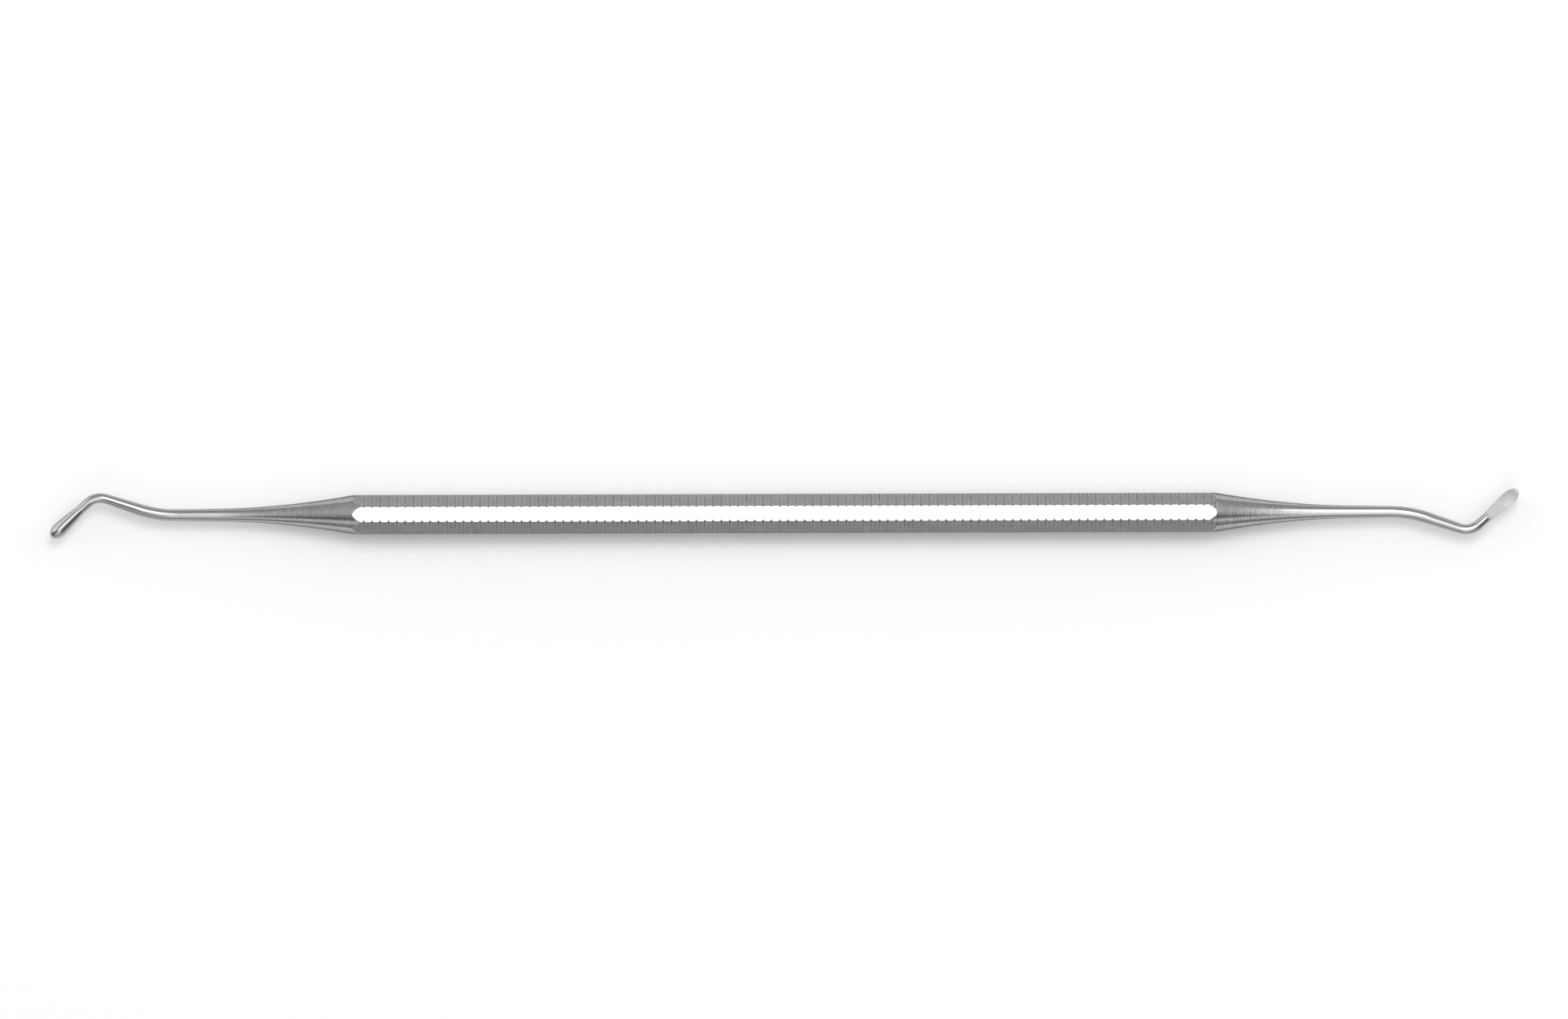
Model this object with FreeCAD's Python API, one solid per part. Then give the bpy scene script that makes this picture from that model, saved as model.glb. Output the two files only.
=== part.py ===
import FreeCAD, Part
import math
import os

# Double-ended spoon excavator, a hand instrument for dental work, as one solid of steel.
# Millimetres. X runs along the handle, Z is up; the instrument lies on one flat of its
# octagonal handle, so z = 0 is the surface it lies on. Both working ends bend in the
# horizontal plane. The right blade shows its ground face upwards, the left blade is its
# mirrored twin and shows its rounded back.

# Handle: octagonal bar with four plain flats and four serrated ones
HANDLE_LENGTH = 99.80
ACROSS_FLATS = 4.50
SERRATION_PITCH = 0.9605
SERRATION_DEPTH = 0.12
SERRATION_WIDTH = 0.27
SERRATION_START = 1.30      # from the left shoulder to the first groove
SERRATION_END_GAP = 0.50    # least distance from the last groove to the right shoulder
SERRATION_TILT = 2.4        # degrees, so that grooves deepen towards one side of their flat

# Turned tapers between handle and shank, a hollow flare
TAPER_LENGTH = 16.00
TAPER_SHOULDER_SLOPE = 0.178
TAPER_TIP_SLOPE = 0.010
CROWN_OVERSIZE = 0.05       # the turned profile starts this far outside the bar's corners

# Round shanks: radius at each station on the way to the blade
SHANK_RADIUS = 0.705
BEND_1_SHANK_RADIUS = 0.645
BEND_2_SHANK_RADIUS = 0.545
NECK_RADIUS = 0.520

# Bends, all in the horizontal plane: radii of the centreline
BEND_1_RADIUS = 14.0
BEND_2_RADIUS = 2.2

# Right working end: runs between bend corners, angles in degrees
RIGHT_RUN_1 = 6.24          # end of taper to corner of bend 1
RIGHT_RUN_2 = 7.50          # corner of bend 1 to corner of bend 2
RIGHT_BEND_1 = 18.2
RIGHT_BEND_2 = 59.2
RIGHT_BLADE_REACH = 7.28    # corner of bend 2 to blade tip

# Left working end
LEFT_RUN_1 = 6.70
LEFT_RUN_2 = 7.42
LEFT_BEND_1 = 17.9
LEFT_BEND_2 = 60.9
LEFT_BLADE_REACH = 6.98

# Blade: a teardrop of round section with a face ground on it and a shallow bowl
BLADE_RADIUS = 0.790
BLADE_LENGTH = 4.60         # from the end of the neck to the tip
BLADE_NOSE_LENGTH = 1.28    # half an ellipse ends the blade
BLADE_NECK_LEAD = 0.30      # the flare leaves the neck along its line for this far
BLADE_NOSE_LEAD = 1.00      # and meets the rounded nose along its line for this far
FACE_HEIGHT = 0.20          # face above the blade's axis
FACE_LENGTH = 4.15          # tip to the point where the face reaches its depth
FACE_RUNOUT_RADIUS = 0.75
BOWL_DIAMETER = 2.08        # wider than the face, so the bowl scoops the cutting rim too
BOWL_DEPTH = 0.12
BOWL_SETBACK = 1.40         # tip to the middle of the bowl

# Derived places
HALF_HANDLE = HANDLE_LENGTH / 2.0
FLAT_RADIUS = ACROSS_FLATS / 2.0
HALF_FLAT_WIDTH = FLAT_RADIUS * math.tan(math.radians(22.5))
CORNER_RADIUS = FLAT_RADIUS / math.cos(math.radians(22.5))
TAPER_END = HALF_HANDLE + TAPER_LENGTH
QUARTER_ROUND = 0.5523      # lead of a Bezier curve that follows a quarter of an ellipse

X_AXIS = FreeCAD.Vector(1, 0, 0)
Z_AXIS = FreeCAD.Vector(0, 0, 1)
ORIGIN = FreeCAD.Vector(0, 0, 0)


def vec(x, y, z=0.0):
    return FreeCAD.Vector(x, y, z)


def octagon_bar():
    """Octagonal bar along X with a flat on top, long enough to hold both tapers."""
    points = []
    for i in range(9):
        a = math.radians(22.5 + 45.0 * i)
        points.append(vec(-TAPER_END, CORNER_RADIUS * math.cos(a), CORNER_RADIUS * math.sin(a)))
    face = Part.Face(Part.makePolygon(points))
    return face.extrude(vec(2.0 * TAPER_END, 0))


def taper_curve(side):
    """Hollow flare in the XY plane from the shoulder to the shank, for side +1 or -1."""
    third = TAPER_LENGTH / 3.0
    start = vec(HALF_HANDLE, FLAT_RADIUS)
    end = vec(TAPER_END, SHANK_RADIUS)
    lead = vec(HALF_HANDLE + third, FLAT_RADIUS - TAPER_SHOULDER_SLOPE * third)
    trail = vec(TAPER_END - third, SHANK_RADIUS + TAPER_TIP_SLOPE * third)
    curve = Part.BezierCurve()
    poles = [start, lead, trail, end]
    curve.setPoles([vec(side * p.x, p.y) for p in poles])
    return curve.toShape()


def turned_body():
    """Body of revolution whose cut leaves the bullet-shaped ends of the handle flats."""
    top = CORNER_RADIUS + CROWN_OVERSIZE
    inset = HALF_HANDLE - (top - FLAT_RADIUS) / TAPER_SHOULDER_SLOPE
    edges = [taper_curve(-1), taper_curve(1)]
    outline = [
        vec(TAPER_END, SHANK_RADIUS),
        vec(TAPER_END, 0),
        vec(-TAPER_END, 0),
        vec(-TAPER_END, SHANK_RADIUS),
    ]
    edges += [Part.makeLine(a, b) for a, b in zip(outline[:-1], outline[1:])]
    crown = [
        vec(-HALF_HANDLE, FLAT_RADIUS),
        vec(-inset, top),
        vec(inset, top),
        vec(HALF_HANDLE, FLAT_RADIUS),
    ]
    edges += [Part.makeLine(a, b) for a, b in zip(crown[:-1], crown[1:])]
    wire = Part.Wire(Part.__sortEdges__(edges))
    return Part.Face(wire).revolve(ORIGIN, X_AXIS, 360)


def serration_places():
    """X of every groove, from the left shoulder to the right one."""
    first = -HALF_HANDLE + SERRATION_START
    room = HALF_HANDLE - SERRATION_END_GAP - first
    count = int(math.floor(room / SERRATION_PITCH)) + 1
    return [first + i * SERRATION_PITCH for i in range(count)]


def serration_comb(turn):
    """Row of V-shaped teeth that cuts the grooves of the flat facing angle `turn`.

    Each tooth goes on widening above the flat, halfway to its neighbour, so that the bar
    of the comb stays clear of the lands.
    """
    half = (SERRATION_WIDTH + SERRATION_PITCH) / 4.0
    low = FLAT_RADIUS - SERRATION_DEPTH
    mid = low + half * SERRATION_DEPTH / (SERRATION_WIDTH / 2.0)
    high = mid + SERRATION_DEPTH
    width = HALF_FLAT_WIDTH + 2.0 * SERRATION_DEPTH
    places = serration_places()
    points = [vec(places[0] - half, -width, high)]
    for x in places:
        points.append(vec(x - half, -width, mid))
        points.append(vec(x, -width, low))
        points.append(vec(x + half, -width, mid))
    points.append(vec(places[-1] + half, -width, high))
    points.append(points[0])
    comb = Part.Face(Part.makePolygon(points)).extrude(vec(0, 2.0 * width))
    comb.rotate(ORIGIN, X_AXIS, turn - SERRATION_TILT)
    return comb


def heading_vec(heading, length):
    """Step of the given length in the XY plane, heading in degrees from +X."""
    h = math.radians(heading)
    return vec(length * math.cos(h), length * math.sin(h))


def tapered_bar(start, end, heading, radius_start, radius_end):
    """Straight round bar in the XY plane, drawn down from one radius to the other."""
    length = end.sub(start).Length
    outline = Part.BezierCurve()
    outline.setPoles([vec(0, radius_start), vec(length, radius_end)])
    corners = [vec(length, radius_end), vec(length, 0), ORIGIN, vec(0, radius_start)]
    edges = [outline.toShape()]
    edges += [Part.makeLine(a, b) for a, b in zip(corners[:-1], corners[1:])]
    bar = Part.Face(Part.Wire(Part.__sortEdges__(edges))).revolve(ORIGIN, X_AXIS, 360)
    bar.rotate(ORIGIN, Z_AXIS, heading)
    bar.translate(start)
    return bar


def bent_bar(start, heading, angle, bend_radius, radius):
    """Round bar bent in the XY plane by angle degrees, plus to the left; with its end."""
    to_centre = heading_vec(heading + 90.0, math.copysign(bend_radius, angle))
    centre = start.add(to_centre)
    circle = Part.Wire(Part.makeCircle(radius, start, heading_vec(heading, 1.0)))
    bar = Part.Face(circle).revolve(centre, Z_AXIS, angle)
    end = centre.sub(heading_vec(heading + angle + 90.0, math.copysign(bend_radius, angle)))
    return bar, end


def blade_blank(neck_end):
    """Teardrop of round section along +X from the neck to the tip, axis on the X axis."""
    tip = neck_end + BLADE_LENGTH
    nose_start = tip - BLADE_NOSE_LENGTH
    flare = Part.BezierCurve()
    flare.setPoles([
        vec(neck_end, NECK_RADIUS),
        vec(neck_end + BLADE_NECK_LEAD, NECK_RADIUS),
        vec(nose_start - BLADE_NOSE_LEAD, BLADE_RADIUS),
        vec(nose_start, BLADE_RADIUS),
    ])
    nose = Part.BezierCurve()
    nose.setPoles([
        vec(nose_start, BLADE_RADIUS),
        vec(nose_start + QUARTER_ROUND * BLADE_NOSE_LENGTH, BLADE_RADIUS),
        vec(tip, QUARTER_ROUND * BLADE_RADIUS),
        vec(tip, 0),
    ])
    lines = [
        Part.makeLine(vec(tip, 0), vec(neck_end, 0)),
        Part.makeLine(vec(neck_end, 0), vec(neck_end, NECK_RADIUS)),
    ]
    wire = Part.Wire(Part.__sortEdges__([flare.toShape(), nose.toShape()] + lines))
    return Part.Face(wire).revolve(ORIGIN, X_AXIS, 360)


def face_cutter(tip):
    """Block that grinds the blade's face, with a rounded run-out towards the neck."""
    flat_start = tip - FACE_LENGTH
    back = flat_start - FACE_RUNOUT_RADIUS
    shoulder = FACE_HEIGHT + FACE_RUNOUT_RADIUS
    eighth = FACE_RUNOUT_RADIUS * math.sqrt(0.5)
    top = shoulder + BLADE_RADIUS
    front = tip + BLADE_RADIUS
    arc_end = vec(back, 0, shoulder)
    arc_middle = vec(flat_start - eighth, 0, shoulder - eighth)
    corners = [
        arc_end,
        vec(back, 0, top),
        vec(front, 0, top),
        vec(front, 0, FACE_HEIGHT),
        vec(flat_start, 0, FACE_HEIGHT),
    ]
    edges = [Part.Arc(corners[-1], arc_middle, arc_end).toShape()]
    edges += [Part.makeLine(a, b) for a, b in zip(corners[:-1], corners[1:])]
    block = Part.Face(Part.Wire(Part.__sortEdges__(edges)))
    block.translate(vec(0, -2.0 * BLADE_RADIUS))
    return block.extrude(vec(0, 4.0 * BLADE_RADIUS))


def bowl_ball(tip):
    """Ball that hollows the shallow bowl in the wide end of the face."""
    half = BOWL_DIAMETER / 2.0
    radius = (half ** 2 + BOWL_DEPTH ** 2) / (2.0 * BOWL_DEPTH)
    height = FACE_HEIGHT - BOWL_DEPTH + radius
    return Part.makeSphere(radius, vec(tip - BOWL_SETBACK, 0, height))


def blade(corner, heading, reach):
    """Finished blade, its axis through the bend corner at the given heading."""
    solid = blade_blank(reach - BLADE_LENGTH)
    solid = solid.cut(face_cutter(reach))
    solid = solid.cut(bowl_ball(reach))
    solid.rotate(ORIGIN, Z_AXIS, heading)
    solid.translate(corner)
    return solid


def working_end(run_1, run_2, bend_1, bend_2, reach):
    """Shank with two bends and its blade, leaving the handle towards +X."""
    cut_1 = BEND_1_RADIUS * math.tan(math.radians(bend_1 / 2.0))
    cut_2 = BEND_2_RADIUS * math.tan(math.radians(bend_2 / 2.0))
    slope = -bend_1
    heading = bend_2 - bend_1
    start = vec(TAPER_END, 0)
    corner_1 = vec(TAPER_END + run_1, 0)
    corner_2 = corner_1.add(heading_vec(slope, run_2))
    arc_1_start = corner_1.sub(vec(cut_1, 0))
    arc_2_start = corner_2.sub(heading_vec(slope, cut_2))
    neck_end = corner_2.add(heading_vec(heading, reach - BLADE_LENGTH))
    arc_1, arc_1_end = bent_bar(arc_1_start, 0.0, -bend_1, BEND_1_RADIUS, BEND_1_SHANK_RADIUS)
    arc_2, arc_2_end = bent_bar(arc_2_start, slope, bend_2, BEND_2_RADIUS, BEND_2_SHANK_RADIUS)
    pieces = [
        tapered_bar(start, arc_1_start, 0.0, SHANK_RADIUS, BEND_1_SHANK_RADIUS),
        arc_1,
        tapered_bar(arc_1_end, arc_2_start, slope, BEND_1_SHANK_RADIUS, BEND_2_SHANK_RADIUS),
        arc_2,
        tapered_bar(arc_2_end, neck_end, heading, BEND_2_SHANK_RADIUS, NECK_RADIUS),
        blade(corner_2, heading, reach),
    ]
    return pieces[0].fuse(pieces[1:])


def excavator():
    """Whole instrument, lying on the lower flat of its handle."""
    handle = octagon_bar().common(turned_body())
    right = working_end(RIGHT_RUN_1, RIGHT_RUN_2, RIGHT_BEND_1, RIGHT_BEND_2, RIGHT_BLADE_REACH)
    left = working_end(LEFT_RUN_1, LEFT_RUN_2, LEFT_BEND_1, LEFT_BEND_2, LEFT_BLADE_REACH)
    left.rotate(ORIGIN, Z_AXIS, 180)
    left = left.mirror(ORIGIN, Z_AXIS)
    body = handle.fuse([right, left]).removeSplitter()
    for turn in (45, 135, 225, 315):
        body = body.cut(serration_comb(turn))
    body.translate(vec(0, 0, FLAT_RADIUS))
    return body


def main():
    os.makedirs("parts", exist_ok=True)
    shape = excavator()
    solid = shape.Solids[0]
    print("solids", len(shape.Solids), "valid", solid.isValid(), "faces", len(solid.Faces))
    print("grooves per flat", len(serration_places()), "volume", round(solid.Volume, 2))
    solid.exportStep("parts/spoon_excavator.step")


main()
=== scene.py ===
import math

import bmesh
import bpy
import numpy as np
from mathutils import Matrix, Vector

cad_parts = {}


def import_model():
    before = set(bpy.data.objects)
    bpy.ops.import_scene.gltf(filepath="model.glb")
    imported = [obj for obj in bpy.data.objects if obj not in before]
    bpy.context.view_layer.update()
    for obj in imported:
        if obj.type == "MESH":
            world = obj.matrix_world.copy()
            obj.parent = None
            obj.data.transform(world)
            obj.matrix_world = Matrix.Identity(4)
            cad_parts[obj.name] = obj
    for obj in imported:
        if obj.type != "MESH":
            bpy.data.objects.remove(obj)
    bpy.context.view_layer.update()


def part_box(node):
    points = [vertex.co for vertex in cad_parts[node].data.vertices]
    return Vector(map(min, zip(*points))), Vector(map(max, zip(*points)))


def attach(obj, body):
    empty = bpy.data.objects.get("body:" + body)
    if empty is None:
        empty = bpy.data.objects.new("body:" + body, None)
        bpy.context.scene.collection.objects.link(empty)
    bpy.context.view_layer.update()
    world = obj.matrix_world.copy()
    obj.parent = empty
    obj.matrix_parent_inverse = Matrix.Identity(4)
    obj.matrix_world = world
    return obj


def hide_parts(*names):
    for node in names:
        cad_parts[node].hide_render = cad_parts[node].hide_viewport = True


# Spoon excavator of stainless steel, lying on one flat of its octagonal handle.
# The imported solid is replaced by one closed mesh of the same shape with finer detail.
# Shape values are in millimetres in the frame of the solid and end up in metres.
MM = 0.001
RING = 64                   # points round every section, 8 to an eighth of the handle

# Handle
HALF_HANDLE = 49.90
FLAT_RADIUS = 2.25
CORNER_FILLET = 0.10
GROOVE_PITCH = 0.9605
GROOVE_DEPTH = 0.12
GROOVE_HALF_WIDTH = 0.140
GROOVE_FIRST = -48.60
GROOVE_COUNT = 103
GROOVE_TILT = 2.4           # degrees, so that grooves deepen towards one side of their flat
LAND_PILLOW = 0.014         # how far a land falls away towards its grooves
LAND_PILLOW_POWER = 4
CROWN_SLOPE = 0.178         # of the turned profile that cuts the ends of the flats
POINT_NEAR_EDGE = 0.93      # share of half a flat's width
POINT_INSIDE = 0.40
GROOVE_OFFSETS = (-0.26, -GROOVE_HALF_WIDTH, -0.07, 0.0, 0.07, GROOVE_HALF_WIDTH, 0.26)
CROWN_OFFSETS = (0.01, 0.03, 0.07, 0.13, 0.22, 0.34, 0.48, 0.65, 0.83, 0.95, 1.04)
CLOSEST_SECTIONS = 0.012

# Turned tapers
TAPER_LENGTH = 16.00
TAPER_END = HALF_HANDLE + TAPER_LENGTH
TAPER_TIP_SLOPE = 0.010
TAPER_DENSE_LENGTH = 3.2
TAPER_DENSE_STEPS = 16
TAPER_STEPS = 32
REOPEN_LENGTH = 2.6         # where the points gathered at the tips of the flats spread out

# Shanks
SHANK_RADIUS = 0.705
BEND_1_SHANK_RADIUS = 0.645
BEND_2_SHANK_RADIUS = 0.545
NECK_RADIUS = 0.520
BEND_1_RADIUS = 14.0
BEND_2_RADIUS = 2.2
RIGHT_END = dict(run_1=6.24, run_2=7.50, bend_1=18.2, bend_2=59.2, reach=7.28)
LEFT_END = dict(run_1=6.70, run_2=7.42, bend_1=17.9, bend_2=60.9, reach=6.98)
SHANK_STEPS = 8
BEND_1_STEPS = 8
BEND_2_STEPS = 22
NECK_STEPS = 14

# Blades
BLADE_RADIUS = 0.790
BLADE_LENGTH = 4.60
BLADE_NOSE_LENGTH = 1.28
BLADE_NECK_LEAD = 0.30
BLADE_NOSE_LEAD = 1.00
FACE_HEIGHT = 0.20
FACE_LENGTH = 4.15
FACE_RUNOUT_RADIUS = 0.75
BOWL_DIAMETER = 2.08
BOWL_DEPTH = 0.12
BOWL_SETBACK = 1.40
BOWL_BLEND = 0.03           # softens the rim of the bowl
FACE_POINTS = 24            # points across the face, its two edges included
FACE_GATHER = 1.1           # neck length over which points gather for the face
RUNOUT_STEPS = 12
RUNOUT_POWER = 1.5          # crowds the sections where the face begins
BLADE_STEPS = 24
NOSE_STEPS = 20
CAP_STEPS = 4
BISECTIONS = 40
FACE_EDGE_ROUNDS = 30

# Joining of the mesh
WELD_DISTANCE = 2e-7        # metres
SHARP_ANGLE = 0.30          # radians

# Regions of the surface, which are also the material slots
FLAT, SERRATED, TURNED, BACK, FACE, CORNER = range(6)

# Tone of the steel in each region, and of its glancing reflections
FLAT_TONE = (0.56, 0.60)
SERRATED_TONE = (0.315, 0.50)
# The corner rounds are much darker than the flats: painted shade that shows them as thin dark
# lines.
CORNER_SHADED_TONE = (0.17, 0.50)
TURNED_TONE = (0.42, 0.30)
BACK_TONE = (0.45, 0.30)
FACE_TONE = (0.50, 0.40)
NOISE_MIDDLE = (0.3, 0.7)   # where nearly all of a noise lies
POLISH_ROUGHNESS = (0.09, 0.14)
POLISH_RELIEF = 0.15
SATIN_ENDS = (0.055, 0.067)  # metres from the middle, where satin turns to polish

# Depths of surface marks in metres
DRAWN_DEPTH = 0.000006
FINE_DEPTH = 0.00001
MILLED_DEPTH = 0.00002
TURNED_DEPTH = 0.00004

# Brightness of the studio by direction, by the angle in degrees from straight above,
# plus towards the front, -Y: under the long overhead light, beside it, and beyond the
# ends of the handle.
OVERHEAD = (
    (-100, 0.38), (-74, 0.45), (-64, 0.49), (-53, 0.56), (-45, 0.75), (-35, 1.09), (-27, 1.46),
    (-17, 1.94), (-8, 2.31), (8, 2.31), (17, 2.07), (25, 1.85), (35, 1.56), (45, 1.27),
    (53, 1.02), (63, 0.80), (74, 0.58), (84, 0.45), (100, 0.31),
)
BESIDE = (
    (-100, 0.36), (-74, 0.43), (-64, 0.43), (-53, 0.48), (-45, 0.52), (-35, 0.56), (-27, 0.62),
    (-17, 0.62), (-8, 0.60), (0, 0.56), (8, 0.52), (17, 0.40), (24, 0.12), (33, 0.15),
    (42, 0.85), (50, 1.15), (57, 0.95), (66, 0.55), (76, 0.36), (100, 0.30),
)
SIDES = ((-100, 1.60), (-12, 1.60), (12, 0.08), (100, 0.05))
BRIGHTEST = 2.5

# Share of the overhead light, by the angle from straight above along the handle, and of
# the sides, by the angle off the plane across the handle. Both are plus towards +X.
OVERHEAD_SPAN = (
    (-14, 0.0), (-9, 0.18), (-4, 0.75), (0, 1.0), (10, 1.0), (14, 0.75), (18, 0.12), (22, 0.0),
)
SIDES_SPAN = ((-36, 1.0), (-26, 0.0), (26, 0.0), (36, 1.0))
WIDE_LIMIT = 100            # degrees to either end of a ramp
NARROW_LIMIT = 30

# Key lamp
KEY_FROM_ZENITH = 24.0      # degrees towards the back, +Y
KEY_ALONG = 5.0             # degrees towards +X
KEY_DISTANCE = 1.0
KEY_SIZE = 0.40
KEY_POWER = 2.2

# Floor
FLOOR_HALF_WIDTH = 4.0
FLOOR_TONE = 0.97
FLOOR_ROUGHNESS = 0.9

# Camera, straight above
FRAME_WIDTH = 0.18128
CAMERA_HEIGHT = 1.2
CAMERA_X = -0.00007
CAMERA_Y = 0.000455
CAMERA_ROLL = -0.0028
SENSOR_WIDTH = 36.0
CLIP = (0.1, 10.0)

EVEN = np.radians((np.arange(RING) - 0.5) * 360.0 / RING)


def smooth(t):
    t = np.clip(t, 0.0, 1.0)
    return t * t * (3.0 - 2.0 * t)


def bezier(t, a, b, c, d):
    u = 1.0 - t
    return u ** 3 * a + 3.0 * u * u * t * b + 3.0 * u * t * t * c + t ** 3 * d


def steps_between(start, stop, count):
    """So many even steps that end at stop, without start."""
    return np.linspace(start, stop, count + 1)[1:]


def unit(heading):
    return np.array([math.cos(heading), math.sin(heading)])


def leftward(heading):
    return np.array([-math.sin(heading), math.cos(heading)])


# Sections

class Section:
    """One ring: where its centre lies, its heading, and angle and radius of each point.

    The region of each point is that of the strip from it to the next one, and the station
    is the distance from the middle of the instrument along its axis.
    """

    def __init__(self, place, heading, angles, radii, station, region, grooved=False):
        self.place = np.array([place[0], place[1], 0.0])
        self.heading = heading
        self.angles = angles
        self.radii = radii
        self.station = station
        self.region = region
        self.grooved = grooved

    def points(self):
        side = np.append(leftward(self.heading), 0.0)
        up = np.array([0.0, 0.0, 1.0])
        out = np.outer(np.sin(self.angles) * self.radii, side)
        out += np.outer(np.cos(self.angles) * self.radii, up)
        return out + self.place

    def marks(self):
        """How deep in a groove each point lies, and how near the edge of its flat, 0 to 1."""
        out = np.zeros((RING, 3))
        if self.grooved:
            out[:, 0] = groove_depth(self.station) / GROOVE_DEPTH
            nearness = np.array([0.0] + [1.0] * 5 + [POINT_NEAR_EDGE, POINT_INSIDE])
            quarter = np.concatenate([nearness, nearness[::-1]])
            out[:, 1] = np.roll(np.tile(quarter, 4), 1)
        return out

    def straight(self):
        """The same points on an instrument with its bends taken out."""
        across = np.sin(self.angles) * self.radii
        above = np.cos(self.angles) * self.radii
        return np.column_stack([np.full(RING, self.station), across, above])


class Mirrored:
    """Section whose points go through the middle of the handle to the other end."""

    def __init__(self, section):
        self.section = section
        self.region = np.roll(section.region, RING // 2)

    def points(self):
        return np.roll(-self.section.points(), RING // 2, axis=0)

    def straight(self):
        return np.roll(-self.section.straight(), RING // 2, axis=0)

    def marks(self):
        return self.section.marks()


# Handle

def groove_depth(x):
    """How far the serrated flats lie below a plain one at x."""
    place = (x - GROOVE_FIRST) / GROOVE_PITCH
    near = round(min(max(place, 0), GROOVE_COUNT - 1))
    gap = abs(x - GROOVE_FIRST - near * GROOVE_PITCH)
    if gap < GROOVE_HALF_WIDTH:
        return LAND_PILLOW + (GROOVE_DEPTH - LAND_PILLOW) * (1.0 - gap / GROOVE_HALF_WIDTH)
    land = GROOVE_PITCH / 2.0 - GROOVE_HALF_WIDTH
    across = max(0.0, 1.0 - (gap - GROOVE_HALF_WIDTH) / land)
    return LAND_PILLOW * across ** LAND_PILLOW_POWER


def turned_radius(x):
    """Radius of the turned profile that ends the flats."""
    return FLAT_RADIUS + CROWN_SLOPE * max(0.0, HALF_HANDLE - abs(x))


def half_width(centre, distance, turned):
    """Half the width of a flat at a distance from the axis, which the turned profile cuts."""
    return min(centre, math.sqrt(max(turned ** 2 - distance ** 2, 0.0)))


def fillet_radius(centre, angle):
    """Distance from the axis to the corner's round in the direction of an angle."""
    along = centre[0] * math.cos(angle) + centre[1] * math.sin(angle)
    inside = CORNER_FILLET ** 2 - centre @ centre + along ** 2
    return along + math.sqrt(max(inside, 0.0))


def octant(x, side):
    """Angles and radii of one octant's points, from a plain flat to a serrated one.

    The first two points are on the plain flat, the next three on the corner's round and
    the last three on the serrated flat. The bottom of a groove is turned by the groove
    tilt, away from the plain flat on side +1.
    """
    depth = groove_depth(x)
    turned = turned_radius(x)
    low = FLAT_RADIUS - depth
    spread = math.radians(45.0 + side * GROOVE_TILT * depth / GROOVE_DEPTH)
    a = FLAT_RADIUS - CORNER_FILLET
    b = low - CORNER_FILLET
    centre = np.array([a, (b - a * math.cos(spread)) / math.sin(spread)])
    half_plain = half_width(centre[1], FLAT_RADIUS, turned)
    half_low = centre[0] * math.sin(spread) - centre[1] * math.cos(spread)
    half_low = half_width(half_low, low, turned)
    start = math.atan2(half_plain, FLAT_RADIUS)
    stop = spread - math.atan2(half_low, low)
    angles = [math.atan2(POINT_NEAR_EDGE * half_plain, FLAT_RADIUS)]
    angles += list(np.linspace(start, stop, 5))
    for share in (POINT_NEAR_EDGE, POINT_INSIDE):
        angles.append(spread - math.atan2(share * half_low, low))
    radii = [FLAT_RADIUS / math.cos(angle) for angle in angles[:2]]
    radii += [fillet_radius(centre, angle) for angle in angles[2:5]]
    radii += [low / math.cos(spread - angle) for angle in angles[5:]]
    return np.array(angles), np.minimum(radii, turned)


def octagon_ring(x):
    """Angles and radii of all points of a handle section."""
    near_a, near_r = octant(x, 1.0)
    far_a, far_r = octant(x, -1.0)
    quarter_a = np.concatenate([near_a, math.pi / 2.0 - far_a[::-1]])
    quarter_r = np.concatenate([near_r, far_r[::-1]])
    angles = np.concatenate([quarter_a + k * math.pi / 2.0 for k in range(4)])
    radii = np.tile(quarter_r, 4)
    return np.roll(angles, 1) - np.r_[2.0 * math.pi, np.zeros(RING - 1)], np.roll(radii, 1)


def handle_regions(corner):
    """Regions round a handle section, with the corners' region given."""
    quarter = [FLAT] * 2 + [corner] * 4 + [SERRATED] * 5 + [corner] * 4 + [FLAT]
    return np.array(quarter * 4)


def handle_stations():
    """X of every section of the handle, denser at the grooves and the shoulders."""
    xs = [-HALF_HANDLE, HALF_HANDLE]
    for i in range(GROOVE_COUNT):
        x = GROOVE_FIRST + i * GROOVE_PITCH
        xs += [x + offset for offset in GROOVE_OFFSETS]
        xs.append(x + GROOVE_PITCH / 2.0)
    for offset in CROWN_OFFSETS:
        xs += [-HALF_HANDLE + offset, HALF_HANDLE - offset]
    xs = sorted(x for x in xs if abs(x) <= HALF_HANDLE)
    kept = [xs[0]]
    for x in xs[1:]:
        if x - kept[-1] > CLOSEST_SECTIONS or x == HALF_HANDLE:
            kept.append(x)
    return kept


def handle_sections():
    """Sections of the handle, whose corners are turned where the turned profile cuts them."""
    out = []
    for x in handle_stations():
        angles, radii = octagon_ring(x)
        cut = radii.max() > turned_radius(x) - 1e-9
        regions = handle_regions(TURNED if cut else CORNER)
        out.append(Section((x, 0.0), 0.0, angles, radii, x, regions, grooved=True))
    return out


# Tapers and shanks

def round_section(place, heading, angles, radius, station):
    """Round section of turned or drawn steel."""
    region = np.full(RING, TURNED)
    return Section(place, heading, angles, np.full(RING, radius), station, region)


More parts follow.
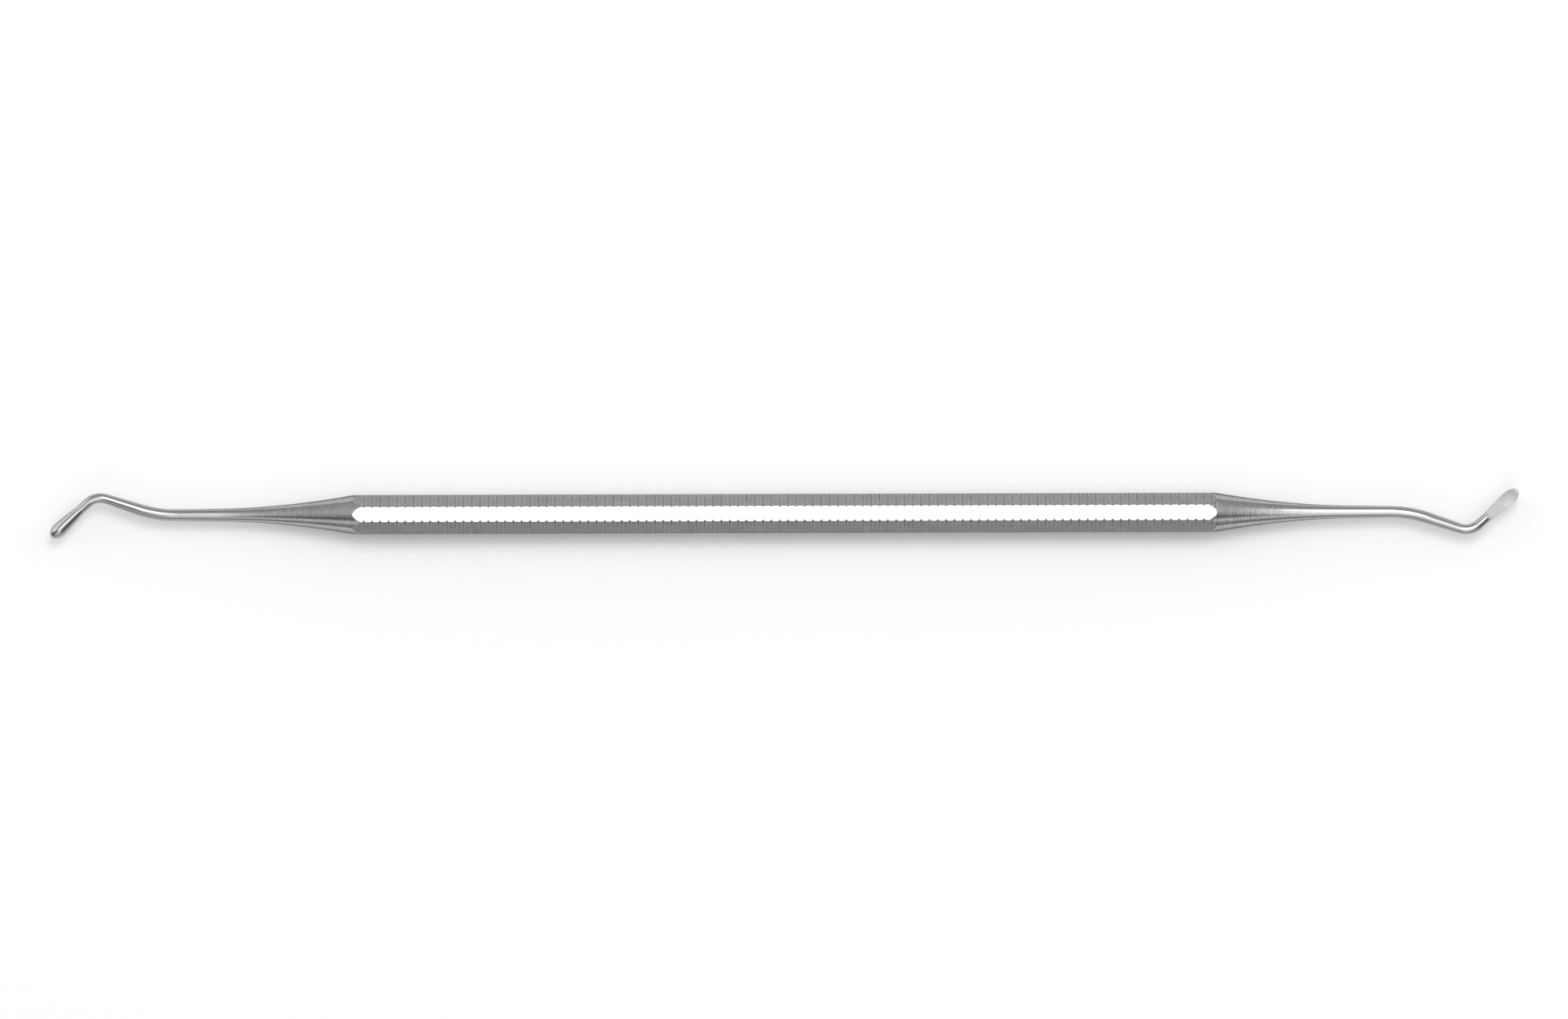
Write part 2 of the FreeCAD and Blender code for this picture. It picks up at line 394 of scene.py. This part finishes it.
def taper_sections():
    """Sections from just outside the right shoulder to the end of the taper."""
    gathered = octagon_ring(HALF_HANDLE)[0]
    third = TAPER_LENGTH / 3.0
    poles = (
        FLAT_RADIUS,
        FLAT_RADIUS - CROWN_SLOPE * third,
        SHANK_RADIUS + TAPER_TIP_SLOPE * third,
        SHANK_RADIUS,
    )
    dense = steps_between(0.0, TAPER_DENSE_LENGTH, TAPER_DENSE_STEPS)
    rest = steps_between(TAPER_DENSE_LENGTH, TAPER_LENGTH, TAPER_STEPS)
    out = []
    for d in np.concatenate([dense, rest]):
        radius = bezier(d / TAPER_LENGTH, *poles)
        angles = gathered + (EVEN - gathered) * smooth(d / REOPEN_LENGTH)
        x = HALF_HANDLE + d
        out.append(round_section((x, 0.0), 0.0, angles, radius, x))
    return out


def straight_run(start, stop, heading, first_radius, last_radius, steps):
    """Place, heading and radius at even steps along a straight part."""
    out = []
    for k in range(1, steps + 1):
        f = k / steps
        radius = first_radius + f * (last_radius - first_radius)
        out.append((start + f * (stop - start), heading, radius))
    return out


def bend_run(start, heading, angle, bend_radius, radius, steps):
    """Place, heading and radius at even steps along an arc, plus to the left."""
    side = math.copysign(1.0, angle)
    centre = start + side * bend_radius * leftward(heading)
    out = []
    for a in steps_between(0.0, angle, steps):
        h = heading + a
        out.append((centre - side * bend_radius * leftward(h), h, radius))
    return out


def shank_line(run_1, run_2, bend_1, bend_2):
    """Place, heading and radius along the shank, and the corner that its second bend rounds."""
    start = np.array([TAPER_END, 0.0])
    cut_1 = BEND_1_RADIUS * math.tan(bend_1 / 2.0)
    cut_2 = BEND_2_RADIUS * math.tan(bend_2 / 2.0)
    corner_1 = np.array([TAPER_END + run_1, 0.0])
    corner_2 = corner_1 + run_2 * unit(-bend_1)
    arc_1 = corner_1 - np.array([cut_1, 0.0])
    arc_2 = corner_2 - cut_2 * unit(-bend_1)
    line = straight_run(start, arc_1, 0.0, SHANK_RADIUS, BEND_1_SHANK_RADIUS, SHANK_STEPS)
    line += bend_run(arc_1, 0.0, -bend_1, BEND_1_RADIUS, BEND_1_SHANK_RADIUS, BEND_1_STEPS)
    radii = BEND_1_SHANK_RADIUS, BEND_2_SHANK_RADIUS
    line += straight_run(line[-1][0], arc_2, -bend_1, *radii, SHANK_STEPS)
    line += bend_run(arc_2, -bend_1, bend_2, BEND_2_RADIUS, BEND_2_SHANK_RADIUS, BEND_2_STEPS)
    return line, corner_2


def neck_radius(d, length):
    """Radius of the neck at d from the second bend."""
    return BEND_2_SHANK_RADIUS + (NECK_RADIUS - BEND_2_SHANK_RADIUS) * d / length


def neck_sections(start, heading, station, length):
    """Sections from the second bend to where the face begins, with their points gathering."""
    gathered = gathered_ring()
    gather = length + runout_start()
    out = []
    for d in np.linspace(0.0, gather, NECK_STEPS + 1)[1:-1]:
        share = smooth((d - gather + FACE_GATHER) / FACE_GATHER)
        angles = EVEN + (gathered - EVEN) * share
        place = start + d * unit(heading)
        out.append(round_section(place, heading, angles, neck_radius(d, length), station + d))
    return out


def end_sections(run_1, run_2, bend_1, bend_2, reach):
    """Sections from the end of the taper to the tip of the blade, heading towards +X."""
    bend_1 = math.radians(bend_1)
    bend_2 = math.radians(bend_2)
    line, corner_2 = shank_line(run_1, run_2, bend_1, bend_2)
    out = []
    station = TAPER_END
    before = np.array([TAPER_END, 0.0])
    for place, h, radius in line:
        station += np.linalg.norm(place - before)
        before = place
        out.append(round_section(place, h, EVEN, radius, station))
    heading = bend_2 - bend_1
    neck_end = corner_2 + (reach - BLADE_LENGTH) * unit(heading)
    length = np.linalg.norm(neck_end - before)
    out += neck_sections(before, heading, station, length)
    out += blade_sections(neck_end, heading, station, length)
    return out


# Blades

def blank_radius(s):
    """Radius of the blade's blank at s from the end of the neck."""
    nose = BLADE_LENGTH - BLADE_NOSE_LENGTH
    if s <= 0.0:
        return NECK_RADIUS
    if s >= nose:
        return BLADE_RADIUS * math.sqrt(max(1.0 - ((s - nose) / BLADE_NOSE_LENGTH) ** 2, 0.0))
    low, high = 0.0, 1.0
    for _ in range(BISECTIONS):
        t = (low + high) / 2.0
        x = bezier(t, 0.0, BLADE_NECK_LEAD, nose - BLADE_NOSE_LEAD, nose)
        low, high = (t, high) if x < s else (low, t)
    return bezier(t, NECK_RADIUS, NECK_RADIUS, BLADE_RADIUS, BLADE_RADIUS)


def soft_lower(a, b, blend):
    """The lower of two heights, rounded where they cross."""
    h = min(max(0.5 + 0.5 * (b - a) / blend, 0.0), 1.0)
    return b + (a - b) * h - blend * h * (1.0 - h)


def face_height(s, t):
    """Height of the ground face above the blade's axis at s along it and t across."""
    start = BLADE_LENGTH - FACE_LENGTH
    height = FACE_HEIGHT
    if s < start:
        drop = max(FACE_RUNOUT_RADIUS ** 2 - (start - s) ** 2, 0.0)
        height = FACE_HEIGHT + FACE_RUNOUT_RADIUS - math.sqrt(drop)
    half = BOWL_DIAMETER / 2.0
    radius = (half ** 2 + BOWL_DEPTH ** 2) / (2.0 * BOWL_DEPTH)
    reach = (s - BLADE_LENGTH + BOWL_SETBACK) ** 2 + t ** 2
    bowl = FACE_HEIGHT - BOWL_DEPTH + radius - math.sqrt(max(radius ** 2 - reach, 0.0))
    return soft_lower(height, bowl, BOWL_BLEND)


def face_half_width(s, radius):
    """How far from the axis the face meets the blank."""
    t = 0.0
    if face_height(s, 0.0) >= radius:
        return 0.0
    for _ in range(FACE_EDGE_ROUNDS):
        h = face_height(s, t)
        t = 0.5 * t + 0.5 * math.sqrt(max(radius ** 2 - h ** 2, 0.0))
    return t


def blade_ring(s, radius):
    """Angles and radii at s where the face has some width."""
    half = face_half_width(s, radius)
    ts = np.linspace(-half, half, FACE_POINTS)
    hs = np.array([face_height(s, t) for t in ts])
    if half > 0.0:
        edge = math.sqrt(max(radius ** 2 - half ** 2, 0.0))
        hs[0] = hs[-1] = math.copysign(edge, hs[0])
    face_a = np.arctan2(ts, hs)
    face_r = np.hypot(ts, hs)
    back = np.linspace(face_a[-1], 2.0 * math.pi + face_a[0], RING - FACE_POINTS + 2)[1:-1]
    angles = np.concatenate([face_a, back])
    radii = np.concatenate([face_r, np.full(len(back), radius)])
    shift = FACE_POINTS // 2 - 1
    return np.roll(angles, -shift), np.roll(radii, -shift)


def gathered_ring():
    """Even points on the back, with all the points of the face gathered at the top."""
    back = np.linspace(0.0, 2.0 * math.pi, RING - FACE_POINTS + 2)[1:-1]
    half = FACE_POINTS // 2
    return np.concatenate([np.zeros(half + 1), back, np.full(half - 1, 2.0 * math.pi)])


def blade_regions():
    out = np.full(RING, BACK)
    half = FACE_POINTS // 2
    out[:half] = FACE
    out[-(half - 1):] = FACE
    return out


def runout_start():
    """S at which the face first touches the neck."""
    depth = FACE_HEIGHT + FACE_RUNOUT_RADIUS - NECK_RADIUS
    return BLADE_LENGTH - FACE_LENGTH - math.sqrt(FACE_RUNOUT_RADIUS ** 2 - depth ** 2)


def blade_stations():
    """S where the face begins, of the sections across the face, and from its end to the tip."""
    first = runout_start()
    flat = BLADE_LENGTH - FACE_LENGTH
    nose = BLADE_LENGTH - BLADE_NOSE_LENGTH
    top = math.acos(FACE_HEIGHT / BLADE_RADIUS)
    spread = np.linspace(0.0, 1.0, RUNOUT_STEPS + 1) ** RUNOUT_POWER
    runout = first + (flat - first) * spread
    middle = steps_between(flat, nose, BLADE_STEPS)
    tip = nose + BLADE_NOSE_LENGTH * np.sin(steps_between(0.0, top, NOSE_STEPS))
    cap = nose + BLADE_NOSE_LENGTH * np.sin(steps_between(top, math.pi / 2.0, CAP_STEPS))
    faced = np.concatenate([runout[1:], middle, tip[:-1]])
    return runout[0], list(faced), [tip[-1]] + list(cap)


def blade_sections(neck_end, heading, station, length):
    """Sections of the blade, whose neck has the given length and starts at the station."""
    gathered = gathered_ring()
    regions = blade_regions()
    first, faced, bare = blade_stations()
    out = []
    for s in [first] + faced + bare:
        radius = neck_radius(length + s, length) if s < 0.0 else blank_radius(s)
        angles = gathered
        radii = np.full(RING, radius)
        if s in faced:
            angles, radii = blade_ring(s, radius)
        place = neck_end + s * unit(heading)
        out.append(Section(place, heading, angles, radii, station + length + s, regions))
    return out


# Mesh

def all_sections():
    right = taper_sections() + end_sections(**RIGHT_END)
    left = taper_sections() + end_sections(**LEFT_END)
    return [Mirrored(s) for s in left[::-1]] + handle_sections() + right


def skin(sections):
    """Faces between neighbouring sections, and the region of each."""
    faces = []
    regions = []
    for i in range(len(sections) - 1):
        outer = i if i < len(sections) // 2 else i + 1
        for j in range(RING):
            a = i * RING + j
            b = i * RING + (j + 1) % RING
            faces.append((a, b, b + RING, a + RING))
            regions.append(sections[outer].region[j])
    return faces, regions


def add_vectors(mesh, name, values):
    layer = mesh.attributes.new(name, "FLOAT_VECTOR", "POINT")
    layer.data.foreach_set("vector", values.astype(np.float32).ravel())


def excavator_mesh():
    """One closed mesh through all sections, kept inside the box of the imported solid."""
    sections = all_sections()
    points = np.concatenate([s.points() for s in sections])
    points[:, 2] += FLAT_RADIUS
    low, high = (np.array(corner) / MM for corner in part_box("spoon_excavator"))
    points = np.clip(points, low, high)
    faces, regions = skin(sections)
    mesh = bpy.data.meshes.new("excavator_body")
    mesh.from_pydata((points * MM).tolist(), [], faces)
    mesh.polygons.foreach_set("material_index", np.array(regions, np.int32))
    mesh.polygons.foreach_set("use_smooth", np.ones(len(faces), bool))
    add_vectors(mesh, "straight", np.concatenate([s.straight() for s in sections]) * MM)
    add_vectors(mesh, "marks", np.concatenate([s.marks() for s in sections]))
    weld(mesh)
    return mesh


def is_sharp(edge):
    """Whether an edge bounds a ground face, or two regions that meet at an angle."""
    a, b = edge.link_faces
    if (a.material_index == FACE) != (b.material_index == FACE):
        return True
    on_handle = abs(edge.verts[0].co.x) < HALF_HANDLE * MM
    angled = a.normal.angle(b.normal, 0.0) > SHARP_ANGLE
    return on_handle and angled and a.material_index != b.material_index


def weld(mesh):
    """Joins the gathered points and marks the sharp edges."""
    bm = bmesh.new()
    bm.from_mesh(mesh)
    bmesh.ops.remove_doubles(bm, verts=bm.verts, dist=WELD_DISTANCE)
    bmesh.ops.recalc_face_normals(bm, faces=bm.faces)
    for edge in bm.edges:
        if len(edge.link_faces) == 2 and is_sharp(edge):
            edge.smooth = False
    bm.to_mesh(mesh)
    bm.free()


# Nodes

def math_node(tree, operation, a, b=0.0):
    """Math node on two values, each a number or a socket."""
    node = tree.nodes.new("ShaderNodeMath")
    node.operation = operation
    for socket, value in zip(node.inputs, (a, b)):
        if isinstance(value, float):
            socket.default_value = value
        else:
            tree.links.new(value, socket)
    return node.outputs["Value"]


def range_node(tree, value, source, target):
    """Maps a value from one range to another."""
    node = tree.nodes.new("ShaderNodeMapRange")
    names = ("From Min", "From Max", "To Min", "To Max")
    for name, number in zip(names, (*source, *target)):
        node.inputs[name].default_value = number
    tree.links.new(value, node.inputs["Value"])
    return node.outputs["Result"]


def mix_node(tree, share, a, b):
    """Colour a where the share is 0, and b where it is 1."""
    node = tree.nodes.new("ShaderNodeMix")
    node.data_type = "RGBA"
    tree.links.new(share, node.inputs["Factor"])
    tree.links.new(a, node.inputs["A"])
    tree.links.new(b, node.inputs["B"])
    return node.outputs["Result"]


def split_node(tree, vector):
    """The three parts of a vector."""
    node = tree.nodes.new("ShaderNodeSeparateXYZ")
    tree.links.new(vector, node.inputs[0])
    return node.outputs["X"], node.outputs["Y"], node.outputs["Z"]


# Steel

class Steel:
    """Node material of steel whose detail follows the straightened instrument."""

    def __init__(self, name, tones):
        self.mat = bpy.data.materials.new(name)
        self.mat.use_nodes = True
        self.tree = self.mat.node_tree
        self.bsdf = self.tree.nodes["Principled BSDF"]
        self.base, tint = tones
        self.bsdf.inputs["Metallic"].default_value = 1.0
        self.bsdf.inputs["Base Color"].default_value = (self.base, self.base, self.base, 1.0)
        self.bsdf.inputs["Specular Tint"].default_value = (tint, tint, tint, 1.0)
        self.place = self.attribute("straight")

    def link(self, a, b):
        self.tree.links.new(a, b)

    def math(self, operation, a, b):
        return math_node(self.tree, operation, a, b)

    def ranged(self, value, source, target):
        return range_node(self.tree, value, source, target)

    def attribute(self, name):
        node = self.tree.nodes.new("ShaderNodeAttribute")
        node.attribute_name = name
        return node.outputs["Vector"]

    def noise(self, along, across, detail=2.0, rough=0.55):
        """Noise with so many features a metre along the instrument and across it."""
        mapping = self.tree.nodes.new("ShaderNodeMapping")
        mapping.inputs["Scale"].default_value = (along, across, across)
        node = self.tree.nodes.new("ShaderNodeTexNoise")
        node.inputs["Scale"].default_value = 1.0
        node.inputs["Detail"].default_value = detail
        node.inputs["Roughness"].default_value = rough
        self.link(self.place, mapping.inputs["Vector"])
        self.link(mapping.outputs["Vector"], node.inputs["Vector"])
        return node.outputs["Fac"]

    def drawn_lines(self):
        """Fine lines along polished steel."""
        return self.noise(along=300.0, across=6000.0)

    def tone(self, factor):
        """Multiplies the base colour by a factor that varies over the surface."""
        node = self.tree.nodes.new("ShaderNodeCombineColor")
        value = self.math("MULTIPLY", factor, self.base)
        for channel in ("Red", "Green", "Blue"):
            self.link(value, node.inputs[channel])
        self.link(node.outputs["Color"], self.bsdf.inputs["Base Color"])

    def roughness(self, value):
        self.link(value, self.bsdf.inputs["Roughness"])

    def relief(self, parts):
        """Bumps, each a height from 0 to 1 with its depth in metres and its share."""
        normal = None
        for height, depth, share in parts:
            bump = self.tree.nodes.new("ShaderNodeBump")
            bump.inputs["Distance"].default_value = depth
            if isinstance(share, float):
                bump.inputs["Strength"].default_value = share
            else:
                self.link(share, bump.inputs["Strength"])
            self.link(height, bump.inputs["Height"])
            if normal is not None:
                self.link(normal, bump.inputs["Normal"])
            normal = bump.outputs["Normal"]
        self.link(normal, self.bsdf.inputs["Normal"])

    def from_middle(self):
        """Distance in metres from the middle of the straightened instrument."""
        x, _, _ = split_node(self.tree, self.place)
        return self.math("ABSOLUTE", x, 0.0)

    def marks(self):
        """Depth in the groove and nearness to the edge of the flat, 0 to 1."""
        groove, edge, _ = split_node(self.tree, self.attribute("marks"))
        return groove, edge

    def wear(self):
        """1 on sharp outer edges, where handling has polished the steel."""
        node = self.tree.nodes.new("ShaderNodeNewGeometry")
        return self.ranged(node.outputs["Pointiness"], (0.51, 0.60), (0.0, 1.0))


def flat_steel():
    """Plain flats: drawn bar with fine lines along it, polished bright by handling."""
    s = Steel("steel_flat", FLAT_TONE)
    lines = s.noise(along=250.0, across=9000.0)
    blotches = s.noise(along=120.0, across=300.0, detail=3.0)
    both = s.math("MULTIPLY", lines, blotches)
    s.roughness(s.ranged(both, (0.1, 0.5), (0.16, 0.26)))
    s.tone(s.ranged(blotches, NOISE_MIDDLE, (0.97, 1.03)))
    s.relief([(lines, FINE_DEPTH, 0.20)])
    return s.mat


def serrated_steel():
    """Serrated flats: painted shade darkening the bottoms of the grooves, a painted dark line
    along the edges of the flat, satin lands, bright worn edges.
    """
    s = Steel("steel_serrated", SERRATED_TONE)
    mill = s.noise(along=5200.0, across=700.0, detail=3.0)
    blotches = s.noise(along=500.0, across=900.0, detail=3.0)
    groove, edge = s.marks()
    wear = s.wear()
    grain = s.ranged(s.math("ADD", mill, blotches), (0.6, 1.4), (0.84, 1.16))
    # painted shade: the tone is darkened towards the bottom of each groove, where shade falls
    groove_shade = s.ranged(groove, (0.35, 1.0), (0.0, 0.20))
    # painted shade: a dark line along the edge of each serrated flat, standing in for the dark
    # reflection at the corner
    edge_shade = s.ranged(edge, (POINT_NEAR_EDGE, 1.0), (0.0, 0.32))
    tone = s.math("SUBTRACT", s.math("SUBTRACT", grain, groove_shade), edge_shade)
    s.tone(s.math("ADD", tone, s.math("MULTIPLY", wear, 0.25)))
    rough = s.ranged(blotches, NOISE_MIDDLE, (0.28, 0.38))
    s.roughness(s.math("SUBTRACT", rough, s.math("MULTIPLY", wear, 0.08)))
    s.relief([(mill, MILLED_DEPTH, 0.35)])
    return s.mat


def corner_steel():
    """Rounds between the flats, with a much darker tone painted on as shade so that they show
    as thin dark lines.
    """
    s = Steel("steel_corner", CORNER_SHADED_TONE)
    mill = s.noise(along=2600.0, across=700.0, detail=3.0)
    groove, _ = s.marks()
    grain = s.ranged(mill, NOISE_MIDDLE, (0.85, 1.15))
    # painted shade: the tone is darkened towards the bottom of each groove
    groove_shade = s.ranged(groove, (0.3, 1.0), (0.0, 0.3))
    tone = s.math("SUBTRACT", grain, groove_shade)
    s.tone(s.math("ADD", tone, s.math("MULTIPLY", s.wear(), 0.3)))
    s.roughness(s.ranged(mill, NOISE_MIDDLE, (0.26, 0.34)))
    return s.mat


def turned_steel():
    """Tapers with turning marks round them, fading into the polished shanks."""
    s = Steel("steel_turned", TURNED_TONE)
    marks = s.noise(along=4200.0, across=160.0, detail=4.0, rough=0.65)
    coarse = s.noise(along=1300.0, across=260.0)
    grain = s.noise(along=4600.0, across=2600.0, detail=3.0)
    draw = s.drawn_lines()
    turned = s.math("ADD", s.math("MULTIPLY", marks, 0.6), s.math("MULTIPLY", coarse, 0.4))
    share = s.ranged(s.from_middle(), SATIN_ENDS, (1.0, 0.0))
    satin = s.math("MULTIPLY", s.ranged(turned, NOISE_MIDDLE, (0.09, 0.18)), share)
    rest = s.math("SUBTRACT", 1.0, share)
    polish = s.math("MULTIPLY", s.ranged(draw, NOISE_MIDDLE, POLISH_ROUGHNESS), rest)
    s.roughness(s.math("ADD", satin, polish))
    bands = s.ranged(turned, NOISE_MIDDLE, (-0.10, 0.10))
    speckle = s.math("ADD", bands, s.ranged(grain, NOISE_MIDDLE, (-0.16, 0.16)))
    s.tone(s.math("ADD", s.math("MULTIPLY", speckle, share), 1.0))
    relief_share = s.math("MULTIPLY", share, 0.26)
    s.relief([
        (turned, TURNED_DEPTH, relief_share),
        (grain, MILLED_DEPTH, relief_share),
        (draw, DRAWN_DEPTH, POLISH_RELIEF),
    ])
    return s.mat


def back_steel():
    """Backs of the blades, polished like the shanks."""
    s = Steel("steel_back", BACK_TONE)
    draw = s.drawn_lines()
    s.roughness(s.ranged(draw, NOISE_MIDDLE, POLISH_ROUGHNESS))
    s.relief([(draw, DRAWN_DEPTH, POLISH_RELIEF)])
    return s.mat


def face_steel():
    """Ground faces, with the fine marks of the wheel across them."""
    s = Steel("steel_face", FACE_TONE)
    marks = s.noise(along=9000.0, across=1100.0, detail=3.0)
    bands = s.noise(along=1600.0, across=350.0)
    both = s.math("ADD", marks, bands)
    s.roughness(s.ranged(both, (0.7, 1.3), (0.52, 0.60)))
    s.tone(s.ranged(both, (0.6, 1.4), (0.88, 1.10)))
    s.relief([(marks, FINE_DEPTH, 0.35), (bands, MILLED_DEPTH, 0.25)])
    return s.mat


# Studio

def make_floor():
    mesh = bpy.data.meshes.new("floor")
    r = FLOOR_HALF_WIDTH
    mesh.from_pydata([(-r, -r, 0), (r, -r, 0), (r, r, 0), (-r, r, 0)], [], [(0, 1, 2, 3)])
    floor = bpy.data.objects.new("floor", mesh)
    bpy.context.scene.collection.objects.link(floor)
    mat = bpy.data.materials.new("floor_white")
    mat.use_nodes = True
    bsdf = mat.node_tree.nodes["Principled BSDF"]
    bsdf.inputs["Base Color"].default_value = (FLOOR_TONE, FLOOR_TONE, FLOOR_TONE, 1.0)
    bsdf.inputs["Roughness"].default_value = FLOOR_ROUGHNESS
    bsdf.inputs["Specular IOR Level"].default_value = 0.0
    mesh.materials.append(mat)


def angle_ramp(tree, angle, rows, limit):
    """Colour ramp over an angle in radians that runs from -limit to limit degrees."""
    ends = (-math.radians(limit), math.radians(limit))
    share = range_node(tree, angle, ends, (0.0, 1.0))
    ramp = tree.nodes.new("ShaderNodeValToRGB")
    ramp.color_ramp.interpolation = "B_SPLINE"
    while len(ramp.color_ramp.elements) < len(rows):
        ramp.color_ramp.elements.new(0.5)
    for element, (degrees, value) in zip(ramp.color_ramp.elements, rows):
        element.position = (degrees + limit) / (2.0 * limit)
        element.color = (value, value, value, 1.0)
    tree.links.new(share, ramp.inputs["Fac"])
    return ramp.outputs["Color"]


def brightness_ramp(tree, angle, rows):
    """Share of the brightest light by an angle."""
    return angle_ramp(tree, angle, [(d, v / BRIGHTEST) for d, v in rows], WIDE_LIMIT)


def make_world():
    """Studio whose light depends on the direction only."""
    world = bpy.data.worlds.new("studio")
    bpy.context.scene.world = world
    world.use_nodes = True
    tree = world.node_tree
    tree.nodes.clear()
    coord = tree.nodes.new("ShaderNodeTexCoord")
    x, y, z = split_node(tree, coord.outputs["Generated"])
    aside = math_node(tree, "ARCTAN2", math_node(tree, "MULTIPLY", y, -1.0), z)
    along = math_node(tree, "ARCTAN2", x, z)
    flat = math_node(tree, "SUBTRACT", 1.0, math_node(tree, "MULTIPLY", x, x))
    endward = math_node(tree, "ARCTAN2", x, math_node(tree, "SQRT", flat))
    overhead_share = angle_ramp(tree, along, OVERHEAD_SPAN, NARROW_LIMIT)
    sides_share = angle_ramp(tree, endward, SIDES_SPAN, WIDE_LIMIT)
    overhead = brightness_ramp(tree, aside, OVERHEAD)
    beside = brightness_ramp(tree, aside, BESIDE)
    sides = brightness_ramp(tree, aside, SIDES)
    middle = mix_node(tree, overhead_share, beside, overhead)
    back = tree.nodes.new("ShaderNodeBackground")
    back.inputs["Strength"].default_value = BRIGHTEST
    out = tree.nodes.new("ShaderNodeOutputWorld")
    tree.links.new(mix_node(tree, sides_share, middle, sides), back.inputs["Color"])
    tree.links.new(back.outputs[0], out.inputs["Surface"])


def make_lamp():
    data = bpy.data.lights.new("key", "AREA")
    data.shape = "ELLIPSE"
    data.size = KEY_SIZE
    data.size_y = KEY_SIZE
    data.energy = KEY_POWER
    lamp = bpy.data.objects.new("key", data)
    lean_x = math.tan(math.radians(KEY_ALONG))
    lean_y = math.tan(math.radians(KEY_FROM_ZENITH))
    place = Vector((lean_x, lean_y, 1.0))
    lamp.location = place.normalized() * KEY_DISTANCE
    lamp.rotation_euler = place.to_track_quat("Z", "Y").to_euler()
    bpy.context.scene.collection.objects.link(lamp)


def make_camera():
    data = bpy.data.cameras.new("camera")
    data.sensor_width = SENSOR_WIDTH
    data.lens = SENSOR_WIDTH * CAMERA_HEIGHT / FRAME_WIDTH
    data.clip_start, data.clip_end = CLIP
    cam = bpy.data.objects.new("camera", data)
    cam.location = (CAMERA_X, CAMERA_Y, CAMERA_HEIGHT + FLAT_RADIUS * MM)
    cam.rotation_euler = (0.0, 0.0, CAMERA_ROLL)
    bpy.context.scene.collection.objects.link(cam)
    bpy.context.scene.camera = cam


def make_body():
    """The instrument, with a material for each region in the order of their numbers."""
    mesh = excavator_mesh()
    makers = (flat_steel, serrated_steel, turned_steel, back_steel, face_steel, corner_steel)
    for material in makers:
        mesh.materials.append(material())
    body = bpy.data.objects.new("excavator_body", mesh)
    bpy.context.scene.collection.objects.link(body)
    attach(body, "root")
    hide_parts("spoon_excavator")


def main():
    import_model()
    make_body()
    make_floor()
    make_world()
    make_lamp()
    make_camera()
    bpy.context.scene.view_settings.view_transform = "Standard"


main()
